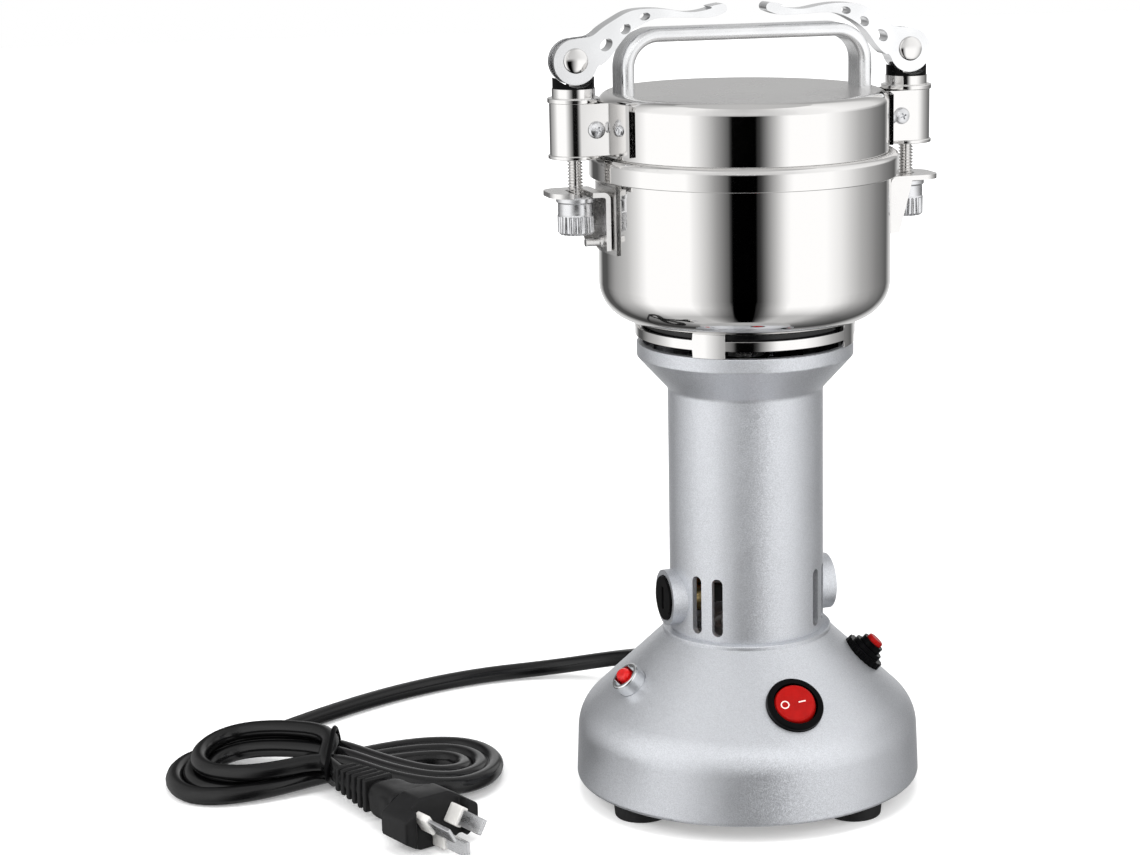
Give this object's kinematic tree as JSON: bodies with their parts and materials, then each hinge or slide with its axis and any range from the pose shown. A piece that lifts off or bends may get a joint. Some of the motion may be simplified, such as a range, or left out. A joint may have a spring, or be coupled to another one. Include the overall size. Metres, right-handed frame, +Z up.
{
  "type": "electric grain mill",
  "caption": "Upright electric grain mill: round weighted base, motor column, stainless bowl with a clamped lid, carry handle and coiled mains cord.",
  "frame": {"origin": "on the table under the mill's vertical axis", "axes": "+Z up along the motor shaft, +X through the right-hand lid clamp, -Y out of the rocker switch"},
  "size_m": [0.3062, 0.2413, 0.3182],
  "materials": {
    "paint": "light silver paint with a fine metallic sparkle",
    "polished_steel": "mirror polished stainless steel",
    "satin_steel": "satin stainless steel",
    "blade_steel": "ground stainless steel",
    "aluminium": "polished cast aluminium",
    "zinc": "bright zinc plating",
    "steel": "plain machined steel",
    "copper": "enamelled copper wire",
    "brass": "plain brass",
    "carbon": "pressed carbon",
    "black_plastic": "black moulded plastic, slight gloss",
    "red_plastic": "glossy red plastic",
    "red_lens": "clear red lens",
    "rubber": "black rubber",
    "silicone": "white silicone"
  },
  "bodies": {
    "base": {"base_housing": "paint", "base_plate": "zinc", "base_screws": "zinc", "rubber_feet": "rubber", "motor_housing": "paint", "lower_bracket": "steel", "bearings": "steel", "stator_core": "steel", "field_coils": "copper", "brush_holders": "brass", "carbon_brushes": "carbon", "brush_springs": "steel", "brush_caps": "black_plastic", "switch_body": "black_plastic", "lamp_bezel": "polished_steel", "lamp_lens": "red_lens", "reset_body": "black_plastic", "reset_nut": "black_plastic", "vent_ring": "polished_steel", "insulator": "black_plastic", "mount_screws": "zinc", "bowl": "polished_steel", "bowl_hub": "blade_steel", "shaft_seal": "rubber", "hook_brackets": "satin_steel", "bracket_rivets": "satin_steel", "cord_gland": "rubber", "cord_lead": "rubber", "cord_hank": "rubber", "cord_tie": "rubber", "plug": "rubber", "plug_pins": "zinc"},
    "rotor": {"shaft": "steel", "armature_core": "steel", "armature_windings": "copper", "commutator": "copper", "fan": "black_plastic", "blade_lower": "blade_steel", "blade_middle": "blade_steel", "blade_upper": "blade_steel", "blade_spacers": "blade_steel", "blade_nut": "blade_steel"},
    "lid": {"lid_shell": "polished_steel", "lid_gasket": "silicone", "handle": "aluminium", "handle_screws": "zinc", "clamp_straps": "polished_steel", "strap_fasteners": "satin_steel", "bolt_sleeves": "polished_steel", "saddle_cups": "black_plastic"},
    "bolt_left": {"bolt_left": "zinc", "lever_pin_left": "polished_steel"},
    "bolt_right": {"bolt_right": "zinc", "lever_pin_right": "polished_steel"},
    "lever_left": {"lever_left": "aluminium"},
    "lever_right": {"lever_right": "aluminium"},
    "nut_left": {"nut_left": "zinc"},
    "nut_right": {"nut_right": "zinc"},
    "rocker": {"rocker": "red_plastic"},
    "reset_button": {"reset_button": "red_plastic"}
  },
  "joints": [
    {"name": "rotor_spin", "type": "hinge", "parent": "base", "child": "rotor", "pos_m": [0, 0, 0.1], "axis": [0, 0, 1], "continuous": true},
    {"name": "lid_turn", "type": "hinge", "parent": "base", "child": "lid", "pos_m": [0, 0, 0.26], "axis": [0, 0, 1], "range_deg": [0, 25]},
    {"name": "bolt_slide_left", "type": "slide", "parent": "lid", "child": "bolt_left", "axis": [0, 0, -1], "range_m": [0, 0.00085]},
    {"name": "bolt_slide_right", "type": "slide", "parent": "lid", "child": "bolt_right", "axis": [0, 0, -1], "range_m": [0, 0.00085]},
    {"name": "lever_swing_left", "type": "hinge", "parent": "bolt_left", "child": "lever_left", "pos_m": [-0.069, 0, 0.2984], "axis": [0, -1, 0], "range_deg": [0, 137]},
    {"name": "lever_swing_right", "type": "hinge", "parent": "bolt_right", "child": "lever_right", "pos_m": [0.069, 0, 0.2984], "axis": [0, 1, 0], "range_deg": [0, 137]},
    {"name": "nut_turn_left", "type": "hinge", "parent": "bolt_left", "child": "nut_left", "pos_m": [-0.069, 0, 0.24], "axis": [0, 0, 1], "continuous": true},
    {"name": "nut_turn_right", "type": "hinge", "parent": "bolt_right", "child": "nut_right", "pos_m": [0.069, 0, 0.24], "axis": [0, 0, 1], "continuous": true},
    {"name": "rocker_tilt", "type": "hinge", "parent": "base", "child": "rocker", "pos_m": [0, -0.05199, 0.04877], "axis": [0, 0.7254, 0.6884], "range_deg": [0, 20]},
    {"name": "reset_press", "type": "slide", "parent": "base", "child": "reset_button", "axis": [-0.6469, 0.2354, -0.7254], "range_m": [0, 0.002], "stiffness_N_per_m": 200}
  ],
  "couplings": [
    {"joint": "lever_swing_left", "follows": "bolt_slide_left", "rad_per_m": 2772},
    {"joint": "lever_swing_right", "follows": "bolt_slide_right", "rad_per_m": 2772}
  ]
}
